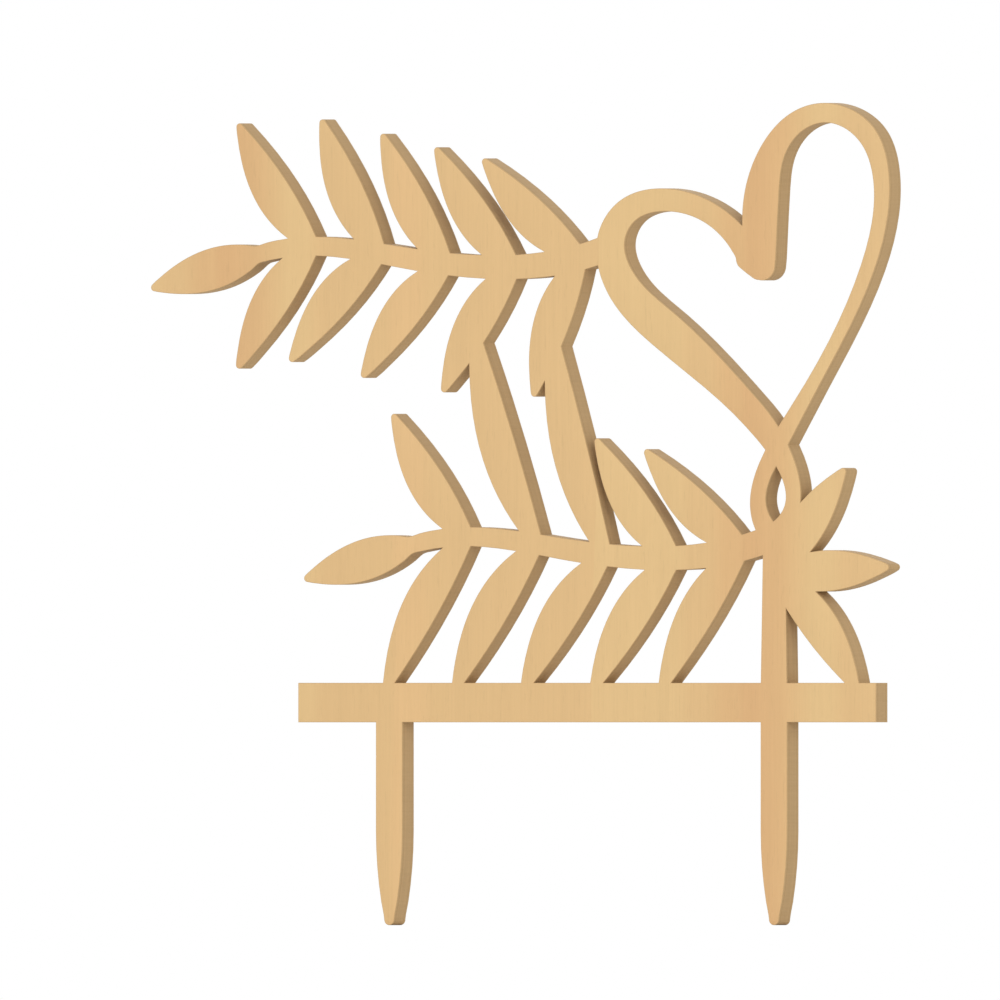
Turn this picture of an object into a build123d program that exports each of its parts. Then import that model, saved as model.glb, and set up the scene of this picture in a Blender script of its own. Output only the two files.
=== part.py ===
from build123d import *
import os

# A flat cake topper cut from one sheet of veneered board: a heart, two leafy sprays that grow from it,
# a bar that they stand on, and two stakes under the bar.
# Millimetres. X runs along the bar, Z is up, and the front face looks towards -Y.
# The origin is the middle of the bar's underside, halfway through the sheet.

# Sheet: a core board with a veneer glued to each face
veneer_thickness = 0.6
glue_thickness = 0.1
core_thickness = 2.6

# Bar
bar_length = 117.6
bar_height = 6.9

# Stakes
stake_width = 5.4
stake_length = 35.5
stake_taper_length = 16.5
stake_tip_radius = 1.0
left_stake_inset = 18.5  # from the bar's left end to the stake's middle
right_stake_inset = 20.8  # from the bar's right end to the stake's middle

# Heart: two strokes that cross at its foot and meet again in a small loop below
heart_width = 59.2
heart_height = 59.8
heart_inset = 20.8  # from the bar's right end to the crossing
heart_lift = 41.7  # from the bar's top to the crossing
heart_thin = 2.8
heart_thick = 7.1

# Post between the heart's loop and the bar
post_top_width = 4.4
post_foot_width = 5.4

# Sprays
upper_spray_length = 72.0
lower_spray_inset = 22.8  # from the bar's left end to the tip of the lower stem
stem_root_width = 4.7
stem_tip_width = 3.1
leaf_pairs = 5
first_pair_share = 0.45  # share of the pairs' spacing that lies before the first one
end_leaf_share = 0.3  # share of the pairs' spacing that is added before the end leaf
leaf_length = 26.0
leaf_width = 7.2
leaf_stalk_width = 2.4
leaf_tip_width = 1.2
leaf_shoulder = 0.3  # share of its length where a leaf's flank turns along it
leaf_brow = 0.62  # share of its length where the flank turns to the tip
leaf_turn = 54.0  # degrees between the stem and its leaves
leaf_bow = 0.055  # share of its length that a leaf bows
end_leaf_length = 22.0
foot_lean = 17.0  # how far a leaf that stands on the bar leans
foot_depth = 1.5  # how far leaf tips run into the bar
tied_pairs = {2: 0, 3: 1}  # pair of the lower spray whose upper leaf runs into a leaf of this upper pair
tie_share = 0.5  # share of that leaf's length at which it is met

# Sprig to the right of the post
sprig_drop = 6.5  # from the bottom of the heart's loop to the sprig's root
sprig_leaf_length = 23.0
sprig_angles = [52, 3]  # degrees above level

# Strokes of the heart, from tip to loop: shares of its width and height from the crossing, and the
# pen's weight from thin (0) to thick (1)
heart_left_stroke = [
    (-0.095, 0.565, 0.5),
    (-0.188, 0.658, 0.28),
    (-0.373, 0.716, 0.28),
    (-0.515, 0.675, 0.47),
    (-0.56, 0.60, 0.65),
    (-0.537, 0.49, 0.81),
    (-0.382, 0.34, 1.0),
    (-0.105, 0.119, 0.58),
    (-0.047, 0.063, 0.52),
    (0.009, -0.005, 0.36),
    (0.066, -0.165, 0.06),
    (0.015, -0.25, 0.19),
]
heart_right_stroke = [
    (-0.04, 0.515, 0.55),
    (-0.049, 0.64, 1.0),
    (-0.04, 0.746, 0.94),
    (-0.002, 0.861, 0.51),
    (0.064, 0.935, 0.28),
    (0.178, 0.971, 0.15),
    (0.325, 0.90, 0.23),
    (0.369, 0.775, 0.11),
    (0.319, 0.511, 0.01),
    (0.101, 0.13, 0.0),
    (0.011, -0.005, 0.15),
    (-0.055, -0.165, 0.1),
    (-0.025, -0.25, 0.28),
]
heart_tip_stroke = [  # a short slanted one where the other two begin
    (-0.1, 0.545, 0.25),
    (-0.078, 0.533, 0.31),
    (-0.055, 0.52, 0.37),
]
heart_shoulder = (-0.56, 0.58)
heart_loop_bottom = (0.0, -0.27)

# Course of a stem from root to tip: shares of its length, to the left and up
stem_course = [(0.0, 0.0), (0.27, -0.05), (0.57, -0.03), (0.82, 0.0), (1.0, -0.02)]

bar_right = bar_length / 2
bar_left = -bar_length / 2
leaf_foot_z = bar_height - foot_depth
heart_x = bar_right - heart_inset
heart_z = bar_height + heart_lift


def heart_point(across, up):
    """A point of the heart from its shares of width and height."""
    return Vector(heart_x + across * heart_width, heart_z + up * heart_height)


def left_of(heading):
    """The unit vector to the left of a heading."""
    return Vector(-heading.Y, heading.X).normalized()


def pen_stroke(points, widths):
    """A stroke with round ends, whose middle runs through the points and swells by the widths."""
    middle = Edge.make_spline(points)
    side = [left_of(middle.tangent_at(point)) * (width / 2) for point, width in zip(points, widths)]
    left = [point + offset for point, offset in zip(points, side)]
    right = [point - offset for point, offset in zip(points, side)]
    with BuildLine() as edge:
        left_side = Spline(*left)
        TangentArc(left[-1], right[-1], tangent=left_side % 1)
        Spline(*right)
        TangentArc(left[0], right[0], tangent=-(left_side % 0))
    make_face(edge.edges())


def heart_stroke(stations):
    """One stroke of the heart."""
    points = [heart_point(across, up) for across, up, weight in stations]
    widths = [heart_thin + (heart_thick - heart_thin) * weight for across, up, weight in stations]
    pen_stroke(points, widths)


def leaf_middle(root, tip, bow):
    """The four points that shape a leaf's middle line, bowed to the left of its direction."""
    chord = tip - root
    crown = left_of(chord) * (bow * chord.length * 4 / 3)  # a line bows less than its inner points
    return [root, root + chord * leaf_shoulder + crown, root + chord * leaf_brow + crown, tip]


def leaf(root, tip, bow, stalk_width=leaf_stalk_width):
    """A pointed leaf from its root to its tip, bowed to the left of that direction."""
    middle = leaf_middle(root, tip, bow)
    headings = [middle[1] - root, tip - root, tip - root, tip - middle[2]]
    swell = (8 * leaf_width - stalk_width - leaf_tip_width) / 6  # a flank swells less than its inner points
    side = [left_of(heading) * (width / 2)
            for heading, width in zip(headings, [stalk_width, swell, swell, leaf_tip_width])]
    left = [point + offset for point, offset in zip(middle, side)]
    right = [point - offset for point, offset in zip(middle, side)]
    with BuildLine() as edge:
        left_flank = Bezier(*left)
        TangentArc(left[-1], right[-1], tangent=left_flank % 1)
        Bezier(*right)
        Line(left[0], right[0])
    make_face(edge.edges())


def stem(root, length):
    """A stem that runs left from its root and ends in a leaf. Gives its middle line."""
    points = [root + Vector(-along, up) * length for along, up in stem_course]
    widths = [stem_root_width + (stem_tip_width - stem_root_width) * along for along, up in stem_course]
    pen_stroke(points, widths)
    middle = Edge.make_spline(points)
    leaf(points[-1], points[-1] + (middle % 1) * end_leaf_length, 0, stem_tip_width)
    return middle


def leaf_reach(stem_line, place, turn):
    """Where a leaf of full length ends that leaves a stem at this place and turn."""
    return stem_line @ place + (stem_line % place).rotate(Axis.Z, turn) * leaf_length


def stake(middle):
    """A stake under the bar: parallel sides, then an ogive to a small round tip."""
    half = stake_width / 2
    shoulder = stake_taper_length - stake_length
    nose = stake_tip_radius - stake_length
    with BuildLine() as edge:
        Polyline(
            (middle - half, shoulder),
            (middle - half, bar_height / 2),
            (middle + half, bar_height / 2),
            (middle + half, shoulder),
        )
        TangentArc((middle + half, shoulder), (middle + stake_tip_radius, nose), tangent=(0, -1))
        ThreePointArc(
            (middle + stake_tip_radius, nose), (middle, -stake_length), (middle - stake_tip_radius, nose)
        )
        TangentArc((middle - half, shoulder), (middle - stake_tip_radius, nose), tangent=(0, -1))
    make_face(edge.edges())


# The outline that every layer of the sheet shares, drawn with X to the right and Z up
with BuildSketch() as outline:
    with Locations((0, bar_height / 2)):
        Rectangle(bar_length, bar_height)
    stake(bar_left + left_stake_inset)
    stake(bar_right - right_stake_inset)
    for stations in (heart_left_stroke, heart_right_stroke, heart_tip_stroke):
        heart_stroke(stations)

    loop_bottom = heart_point(*heart_loop_bottom)
    post_foot = Vector(heart_x, leaf_foot_z)
    pen_stroke([loop_bottom, (loop_bottom + post_foot) * 0.5, post_foot],
               [post_top_width, (post_top_width + post_foot_width) / 2, post_foot_width])

    pair_spacing = 1 / (leaf_pairs + end_leaf_share)
    leaf_places = [(pair + first_pair_share) * pair_spacing for pair in range(leaf_pairs)]

    # The upper spray, whose leaves are free
    upper_stem = stem(heart_point(*heart_shoulder), upper_spray_length)
    for place in leaf_places:
        leaf(upper_stem @ place, leaf_reach(upper_stem, place, -leaf_turn), leaf_bow)
        leaf(upper_stem @ place, leaf_reach(upper_stem, place, leaf_turn), -leaf_bow)

    # The lower spray: its lower leaves stand on the bar, and some upper ones run into the upper spray
    lower_stem = stem(loop_bottom, loop_bottom.X - bar_left - lower_spray_inset)
    for pair, place in enumerate(leaf_places):
        root = lower_stem @ place
        leaf(root, Vector(root.X - foot_lean, leaf_foot_z), -leaf_bow)
        tip = leaf_reach(lower_stem, place, -leaf_turn)
        if pair in tied_pairs:
            met = leaf_places[tied_pairs[pair]]
            middle = leaf_middle(upper_stem @ met, leaf_reach(upper_stem, met, leaf_turn), -leaf_bow)
            tip = Edge.make_bezier(*middle) @ tie_share
        leaf(root, tip, leaf_bow)

    # The sprig to the right of the post
    sprig_root = loop_bottom - Vector(0, sprig_drop)
    for angle in sprig_angles:
        leaf(sprig_root, sprig_root + Vector(sprig_leaf_length, 0).rotate(Axis.Z, angle), 0)
    leaf(sprig_root, Vector(sprig_root.X + foot_lean, leaf_foot_z), leaf_bow)

# The layers, from the front to the back
layers = [
    ("front_veneer", veneer_thickness),
    ("front_glue_film", glue_thickness),
    ("core_board", core_thickness),
    ("back_glue_film", glue_thickness),
    ("back_veneer", veneer_thickness),
]

os.makedirs("parts", exist_ok=True)
front = core_thickness / 2 + glue_thickness + veneer_thickness
for node, thickness in layers:
    front -= thickness
    with BuildPart() as layer:
        with BuildSketch(Plane.XZ.offset(front)):
            add(outline.sketch)
        extrude(amount=thickness)
    layer.part.label = node
    export_step(layer.part, f"parts/{node}.step")
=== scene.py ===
import math

import bmesh
import bpy
from mathutils import Matrix, Vector
from mathutils.geometry import delaunay_2d_cdt


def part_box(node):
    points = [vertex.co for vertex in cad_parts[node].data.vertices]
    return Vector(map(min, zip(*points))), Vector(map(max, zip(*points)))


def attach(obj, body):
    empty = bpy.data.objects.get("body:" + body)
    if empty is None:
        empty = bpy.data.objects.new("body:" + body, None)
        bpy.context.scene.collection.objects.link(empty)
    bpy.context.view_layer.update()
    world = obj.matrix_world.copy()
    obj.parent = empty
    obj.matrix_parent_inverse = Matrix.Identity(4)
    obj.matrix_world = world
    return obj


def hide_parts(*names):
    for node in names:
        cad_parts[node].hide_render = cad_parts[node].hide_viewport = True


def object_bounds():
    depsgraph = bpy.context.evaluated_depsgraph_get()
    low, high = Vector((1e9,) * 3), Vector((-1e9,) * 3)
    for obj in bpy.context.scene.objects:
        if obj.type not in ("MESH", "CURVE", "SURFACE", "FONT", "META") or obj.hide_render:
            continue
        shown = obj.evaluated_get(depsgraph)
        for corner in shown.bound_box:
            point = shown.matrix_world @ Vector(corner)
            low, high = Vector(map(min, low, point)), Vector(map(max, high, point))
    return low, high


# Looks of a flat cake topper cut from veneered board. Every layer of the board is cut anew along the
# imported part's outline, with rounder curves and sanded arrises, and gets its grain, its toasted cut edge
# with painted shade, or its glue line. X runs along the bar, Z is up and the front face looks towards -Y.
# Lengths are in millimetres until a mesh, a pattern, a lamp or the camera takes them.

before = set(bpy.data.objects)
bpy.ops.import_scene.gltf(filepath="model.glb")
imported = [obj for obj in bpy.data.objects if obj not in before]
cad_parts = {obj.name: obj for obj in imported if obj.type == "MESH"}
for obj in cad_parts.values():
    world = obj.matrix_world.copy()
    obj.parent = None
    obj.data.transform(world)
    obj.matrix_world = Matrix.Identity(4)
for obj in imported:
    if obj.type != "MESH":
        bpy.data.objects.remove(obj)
cad_low, cad_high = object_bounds()
mm = 0.001

# Cut: what the outline keeps sharp, and how the faces are sanded
weld_distance = 0.001
triangle_tolerance = 0.0001
corner_turn = math.radians(32)  # a sharper turn of the outline is a corner
bend_limit = math.radians(4)  # a stretch of the outline that bends more gets a point more
refine_rounds = 2
arris_radius = 0.1
arris_steps = 3
longest_miter = 1.6  # in arris radii, at the outline's sharpest corners

# Colours, as a screen shows them
straw = (227, 192, 138)
plain = (225, 188, 135)
warm = (228, 189, 136)
blush = (223, 182, 130)
rosy = (221, 178, 127)
# cut edge: laser-toasted wood, made darker still by painted shade, so that the sides stay darker than the
# faces under even light
toasted_with_painted_shade = (183, 152, 109)
arris_tone = (203, 168, 120)
glue_tone = (166, 135, 93)

# Patterns: sizes along X, Y and Z, and depths as shares by which a colour gets lighter and darker
usual_part = (0.25, 0.75)  # where most values of a pattern lie
middle_value = 0.5  # where a pattern makes no colour lighter or darker
smooth_detail = 1  # how many finer patterns are mixed in
usual_detail = 2
fine_detail = 3

# Veneer: leaves of one figure laid side by side, with the grain upright
veneer_leaf_width = 107.0
veneer_leaf_start = 1.5  # where a leaf begins on the front face
back_leaf_shift = 41.0  # how much further to the right the leaves of the back face lie
leaf_bands = [  # from a leaf's left border, blended from one place to the next
    (0, straw), (17, straw), (20, plain), (23, plain), (27, blush), (29.5, blush), (31, rosy), (33, rosy),
    (38.5, blush), (44.5, straw), (48.5, straw), (51.5, plain), (65, plain), (66.5, warm), (71, warm),
    (74, plain), (106, plain),
]
band_wander = 1.0  # how far a band strays to either side
wander_size = (45.0, 5.0, 60.0)
streak_size = (3.2, 5.0, 140.0)
streak_depth = 0.016
fibre_size = (0.32, 5.0, 14.0)
fibre_depth = 0.02
pore_size = (0.28, 5.0, 3.2)
pore_depth = 0.045
pore_border = (0.66, 0.76)  # the pattern's values between which a pore deepens
veneer_roughness = (0.68, 0.52)  # at low and at high values of the fibres
veneer_shine = 0.25
veneer_relief = 0.012

# Cut edge: the laser's scores, and more patterns as pairs of a size and a depth
score_size = (0.3, 12.0, 0.3)
score_depth = 0.03
layer_size = (30.0, 0.32, 30.0)
speckle_size = (0.22, 0.16, 0.22)
veneer_layers = (layer_size, 0.045)
core_layers = (layer_size, 0.05)
faint_speckles = (speckle_size, 0.02)
arris_speckles = (speckle_size, 0.03)
core_speckles = (speckle_size, 0.04)
blotches = ((9.0, 9.0, 9.0), 0.03)
edge_roughness = (0.82, 0.66)  # at low and at high values of the scores
edge_shine = 0.2
edge_relief = 0.02

# Floor
floor_tone = (246, 246, 245)
floor_roughness = 0.9
floor_size = 6000.0

# Light, as shares of the level at which a colour looks as written
sky_level = 0.715
lamps = [  # name, azimuth, elevation and level
    ("key_light", 48, 14, 0.32),
    ("fill_light", -60, 25, 0.08),
    ("back_light", 200, 30, 0.24),
]
lamp_distance = 2000.0
lamp_size = 1500.0

# Picture
view_azimuth = 30.7  # degrees to the right of the direction that the front face looks in
view_elevation = 0.0
view_width = 175.0
aim = Vector((-18.9, 0.0, 38.9))
camera_distance = 900.0


def outline_loops(node):
    """The closed loops of a CAD layer's front face as (x, z) points, with the board on their left."""
    mesh = bmesh.new()
    mesh.from_mesh(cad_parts[node].data)
    bmesh.ops.transform(mesh, matrix=Matrix.Scale(1 / mm, 4), verts=mesh.verts)
    bmesh.ops.remove_doubles(mesh, verts=mesh.verts, dist=weld_distance)
    front = min(vert.co.y for vert in mesh.verts) + weld_distance
    following = {}
    for face in mesh.faces:
        if all(vert.co.y < front for vert in face.verts):
            for corner in face.loops:
                other = corner.link_loop_radial_next.face
                if any(vert.co.y > front for vert in other.verts):
                    following[corner.vert] = corner.link_loop_next.vert
    loops = []
    while following:
        vert, after = following.popitem()
        loop = [vert]
        while after in following:
            loop.append(after)
            after = following.pop(after)
        loops.append([Vector((vert.co.x, vert.co.z)) for vert in loop])
    mesh.free()
    return loops


def neighbours(loop):
    """Each point of a closed loop with the one before it and the one after it."""
    return zip(loop[-1:] + loop[:-1], loop, loop[1:] + loop[:1])


def turn(before, point, after):
    """How far the loop turns at a point, in radians: to the left if above 0."""
    return (after - point).angle_signed(point - before, 0)


def heading(before, point, after):
    """The loop's unit direction at a point that is no corner, as on a circle through the three points."""
    arriving = point - before
    leaving = after - point
    weighed = arriving.normalized() * leaving.length + leaving.normalized() * arriving.length
    return weighed.normalized()


def refined(loop):
    """The loop with a point added, on the loop's own curve, to each stretch that bends much."""
    turns = [turn(*three) for three in neighbours(loop)]
    headings = [heading(*three) for three in neighbours(loop)]
    made = []
    for i, point in enumerate(loop):
        made.append(point)
        j = (i + 1) % len(loop)
        stretch = loop[j] - point
        start = stretch.normalized() if abs(turns[i]) > corner_turn else headings[i]
        end = stretch.normalized() if abs(turns[j]) > corner_turn else headings[j]
        if abs(start.angle_signed(end, 0)) > bend_limit:
            # The middle of a cubic curve that leaves and arrives along these directions
            made.append((point + loop[j]) / 2 + (start - end) * (stretch.length / 8))
    return made


def inward(before, point, after):
    """The step into the board that a sanded arris of radius 1 takes at a point of the outline."""
    arriving = (point - before).normalized()
    leaving = (after - point).normalized()
    to_left = Vector((-arriving.y - leaving.y, arriving.x + leaving.x)).normalized()
    return to_left / max(math.cos(turn(before, point, after) / 2), 1 / longest_miter)


def loop_places(loops):
    """For each loop, the places that its points take in one list of all the loops' points."""
    first = 0
    for loop in loops:
        yield list(range(first, first + len(loop)))
        first += len(loop)


def board_triangles(points, loops):
    """Triangles, as places among the points, that fill the board between the loops."""
    borders = [places if sum(turn(*three) for three in neighbours(loop)) > 0 else places[::-1]
               for loop, places in zip(loops, loop_places(loops))]
    inside_borders = 1  # the kind of triangulation that leaves out what lies outside the borders
    made = delaunay_2d_cdt(points, [], borders, inside_borders, triangle_tolerance)
    triangles, sources, borders_around = made[2], made[3], made[5]
    # A triangle in a hole of the board has two borders around it
    return [[sources[corner][0] for corner in triangle]
            for triangle, around in zip(triangles, borders_around) if len(around) == 1]


def edge_profile(front, back, eased):
    """The cut edge from front to back as (inset, depth) pairs, with an arris on the eased side."""
    angles = [math.radians(90 * step / arris_steps) for step in range(arris_steps + 1)]
    arris = [(arris_radius * (1 - math.cos(angle)), arris_radius * (1 - math.sin(angle)))
             for angle in angles]
    if eased == "front":
        return [(inset, front + depth) for inset, depth in reversed(arris)] + [(0.0, back)]
    if eased == "back":
        return [(0.0, front)] + [(inset, back - depth) for inset, depth in arris]
    return [(0.0, front), (0.0, back)]


def cut_layer(name, node, loops, eased, face_finish, arris_finish, edge_finish):
    """A layer of the board, cut along the loops, that stands for its CAD node."""
    low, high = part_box(node)
    profile = edge_profile(low.y / mm, high.y / mm, eased)
    points = [point for loop in loops for point in loop]
    steps = [inward(*three) for loop in loops for three in neighbours(loop)]
    flats = [[point + step * inset for point, step in zip(points, steps)] for inset, depth in profile]
    mesh = bmesh.new()
    rings = [[mesh.verts.new((point.x * mm, depth * mm, point.y * mm)) for point in flat]
             for flat, (inset, depth) in zip(flats, profile)]

    # The cut edge
    arris_place, edge_place = 1, 2  # among the finishes below
    for k, (ring, deeper) in enumerate(zip(rings, rings[1:])):
        on_arris = profile[k][0] > 0 or profile[k + 1][0] > 0
        for places in loop_places(loops):
            for i, j in zip(places, places[1:] + places[:1]):
                face = mesh.faces.new((ring[j], ring[i], deeper[i], deeper[j]))
                face.smooth = True
                face.material_index = arris_place if on_arris else edge_place

    # The front and back face
    for triangle in board_triangles(flats[0], loops):
        mesh.faces.new([rings[0][place] for place in triangle])
    for triangle in board_triangles(flats[-1], loops):
        mesh.faces.new([rings[-1][place] for place in reversed(triangle)])

    made = bpy.data.meshes.new(name)
    mesh.to_mesh(made)
    mesh.free()
    made.set_sharp_from_angle(angle=corner_turn)
    for finish in (face_finish, arris_finish, edge_finish):
        made.materials.append(finish)
    piece = bpy.data.objects.new(name, made)
    bpy.context.scene.collection.objects.link(piece)
    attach(piece, "root")
    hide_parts(node)
    return piece


def linear(color):
    """A colour as a screen shows it (sRGB), in the values that a shader takes."""
    shares = [value / 255 for value in color]
    return [s / 12.92 if s <= 0.04045 else ((s + 0.055) / 1.055) ** 2.4 for s in shares]


class Surface:
    """A material that is built up by short calls. Its patterns lie in the part's own frame."""

    def __init__(self, name, shine):
        self.material = bpy.data.materials.new(name)
        self.material.use_nodes = True
        self.tree = self.material.node_tree
        self.shader = self.tree.nodes["Principled BSDF"]
        self.shader.inputs["Specular IOR Level"].default_value = shine
        self.place = self.node("ShaderNodeTexCoord").outputs["Object"]

    def put(self, socket, value):
        """Links or sets a socket."""
        if isinstance(value, bpy.types.NodeSocket):
            self.tree.links.new(value, socket)
        else:
            socket.default_value = value

    def node(self, kind, inputs=(), **settings):
        """A new node with these settings, and with these inputs linked or set."""
        made = self.tree.nodes.new(kind)
        for name, value in settings.items():
            setattr(made, name, value)
        for name, value in dict(inputs).items():
            self.put(made.inputs[name], value)
        return made

    def calculate(self, operation, first, second=0.0):
        """The result of one operation on one or two values."""
        return self.node("ShaderNodeMath", {0: first, 1: second}, operation=operation).outputs[0]

    def noise(self, size, detail=usual_detail):
        """A soft pattern from 0 to 1, with blotches of this size."""
        divided = {0: self.place, 1: [along * mm for along in size]}
        place = self.node("ShaderNodeVectorMath", divided, operation="DIVIDE").outputs[0]
        inputs = {"Vector": place, "Scale": 1.0, "Detail": detail}
        return self.node("ShaderNodeTexNoise", inputs).outputs[0]

    def spread(self, pattern, low, high, part=usual_part):
        """A pattern's values in this part of 0 to 1, spread from low to high and cut off there."""
        start, end = part
        inputs = {"Value": pattern, "From Min": start, "From Max": end, "To Min": low, "To Max": high}
        return self.node("ShaderNodeMapRange", inputs).outputs[0]

    def shade(self, color, pattern, depth):
        """A colour that a pattern makes lighter and darker by this depth."""
        inputs = {0: color, "Scale": self.spread(pattern, 1 - depth, 1 + depth)}
        return self.node("ShaderNodeVectorMath", inputs, operation="SCALE").outputs[0]

    def bands(self, position, stops):
        """Colours along a position from 0 to 1, blended from stop to stop."""
        ramp = self.node("ShaderNodeValToRGB", {"Fac": position})
        elements = ramp.color_ramp.elements
        elements.remove(elements[1])
        elements[0].position = stops[0][0]
        elements[0].color = stops[0][1] + [1.0]
        for place, color in stops[1:]:
            elements.new(place).color = color + [1.0]
        return ramp.outputs["Color"]

    def finish(self, color, roughness, height, relief):
        """Joins colour, roughness and a height pattern, as deep as the relief, to the shader."""
        bump = self.node("ShaderNodeBump", {"Height": height, "Strength": 1.0, "Distance": relief * mm})
        self.put(self.shader.inputs["Base Color"], color)
        self.put(self.shader.inputs["Roughness"], roughness)
        self.put(self.shader.inputs["Normal"], bump.outputs["Normal"])
        return self.material


def veneer(name, leaf_start):
    """A face of sliced pale wood, sanded and unvarnished: banded leaves, upright fibres, short pores."""
    wood = Surface(name, veneer_shine)
    across = wood.node("ShaderNodeSeparateXYZ", {0: wood.place}).outputs["X"]
    wander = wood.spread(wood.noise(wander_size), -band_wander * mm, band_wander * mm)
    from_start = wood.calculate("SUBTRACT", wood.calculate("ADD", across, wander), leaf_start * mm)
    in_leaf = wood.calculate("FRACT", wood.calculate("DIVIDE", from_start, veneer_leaf_width * mm))
    stops = [(place / veneer_leaf_width, linear(tone)) for place, tone in leaf_bands]
    streaks = wood.noise(streak_size, fine_detail)
    fibres = wood.noise(fibre_size, fine_detail)
    pores = wood.spread(wood.noise(pore_size, smooth_detail), middle_value, 0.0, pore_border)
    color = wood.bands(in_leaf, stops)
    color = wood.shade(color, streaks, streak_depth)
    color = wood.shade(color, fibres, fibre_depth)
    color = wood.shade(color, pores, pore_depth)
    height = wood.calculate("ADD", fibres, pores)
    return wood.finish(color, wood.spread(fibres, *veneer_roughness), height, veneer_relief)


def cut_edge(name, tone, patterns):
    """An edge that the laser has cut, in the given tone, with its scores across the board and these
    patterns.
    """
    edge = Surface(name, edge_shine)
    scores = edge.noise(score_size, fine_detail)
    color = edge.shade(linear(tone), scores, score_depth)
    for size, depth in patterns:
        color = edge.shade(color, edge.noise(size), depth)
    return edge.finish(color, edge.spread(scores, *edge_roughness), scores, edge_relief)


def direction(azimuth, elevation):
    """The unit vector from the part to where it is seen at this azimuth and elevation, in degrees."""
    turned, raised = math.radians(azimuth), math.radians(elevation)
    level = math.cos(raised)
    return Vector((math.sin(turned) * level, -math.cos(turned) * level, math.sin(raised)))


def add_lamp(name, azimuth, elevation, level):
    """A large soft lamp that lights a surface facing it at this level."""
    lamp = bpy.data.lights.new(name, "AREA")
    lamp.shape = "DISK"
    lamp.size = lamp_size * mm
    lamp.energy = level * (math.pi * lamp_distance * mm) ** 2  # watts
    placed = bpy.data.objects.new(name, lamp)
    towards = direction(azimuth, elevation)
    placed.location = (aim + towards * lamp_distance) * mm
    placed.rotation_mode = "QUATERNION"
    placed.rotation_quaternion = towards.to_track_quat("Z", "Y")
    bpy.context.scene.collection.objects.link(placed)


# Finishes
front_face = veneer("front_veneer_face", veneer_leaf_start)
back_face = veneer("back_veneer_face", veneer_leaf_start + back_leaf_shift)
sanded_arris = cut_edge("sanded_arris", arris_tone, [arris_speckles, blotches])
# The veneer's and the core's cut edges take the toasted tone, which holds painted shade
veneer_edge = cut_edge("veneer_edge", toasted_with_painted_shade, [veneer_layers, faint_speckles, blotches])
core_edge = cut_edge("core_edge", toasted_with_painted_shade, [core_layers, core_speckles, blotches])
glue_edge = cut_edge("glue_edge", glue_tone, [faint_speckles, blotches])

# The board's layers
outline = outline_loops("front_veneer")
for _ in range(refine_rounds):
    outline = [refined(loop) for loop in outline]
layers = [  # piece, CAD node, material slot, eased side, finish of the faces and of the cut edge
    ("front_veneer_sheet", "front_veneer", "veneer", "front", front_face, veneer_edge),
    ("front_glue_line", "front_glue_film", "glue", None, glue_edge, glue_edge),
    ("core_board_cut", "core_board", "core", None, core_edge, core_edge),
    ("back_glue_line", "back_glue_film", "glue", None, glue_edge, glue_edge),
    ("back_veneer_sheet", "back_veneer", "veneer", "back", back_face, veneer_edge),
]
for name, node, slot, eased, face_finish, edge_finish in layers:
    cut_layer(name, node, outline, eased, face_finish, sanded_arris, edge_finish)

# Floor under the stakes' tips
bpy.ops.mesh.primitive_plane_add(size=floor_size * mm, location=(aim.x * mm, aim.y * mm, cad_low.z))
floor = bpy.context.object
floor.name = "floor"
floor_finish = bpy.data.materials.new("pale_floor")
floor_finish.use_nodes = True
floor_shader = floor_finish.node_tree.nodes["Principled BSDF"]
floor_shader.inputs["Base Color"].default_value = linear(floor_tone) + [1.0]
floor_shader.inputs["Roughness"].default_value = floor_roughness
floor.data.materials.append(floor_finish)

# Studio: soft lamps in an even pale room, which is white where the camera or a reflection sees it
for lamp in lamps:
    add_lamp(*lamp)
room = bpy.data.worlds.new("studio")
room.use_nodes = True
bpy.context.scene.world = room
tree = room.node_tree
rays = tree.nodes.new("ShaderNodeLightPath")
seen = rays.outputs["Is Camera Ray"]
for kind in ("Is Glossy Ray", "Is Transmission Ray"):
    either = tree.nodes.new("ShaderNodeMath")
    either.operation = "MAXIMUM"
    tree.links.new(seen, either.inputs[0])
    tree.links.new(rays.outputs[kind], either.inputs[1])
    seen = either.outputs[0]
strength = tree.nodes.new("ShaderNodeMapRange")
strength.inputs["To Min"].default_value = sky_level
strength.inputs["To Max"].default_value = 1.0
tree.links.new(seen, strength.inputs["Value"])
tree.nodes["Background"].inputs["Color"].default_value = (1.0, 1.0, 1.0, 1.0)
tree.links.new(strength.outputs[0], tree.nodes["Background"].inputs["Strength"])

# Camera: the photograph's view has no perspective
camera = bpy.data.objects.new("camera", bpy.data.cameras.new("camera"))
camera.data.type = "ORTHO"
camera.data.ortho_scale = view_width * mm
towards_camera = direction(view_azimuth, view_elevation)
camera.location = (aim + towards_camera * camera_distance) * mm
camera.rotation_mode = "QUATERNION"
camera.rotation_quaternion = towards_camera.to_track_quat("Z", "Y")
bpy.context.scene.collection.objects.link(camera)
bpy.context.scene.camera = camera
bpy.context.scene.view_settings.view_transform = "Standard"
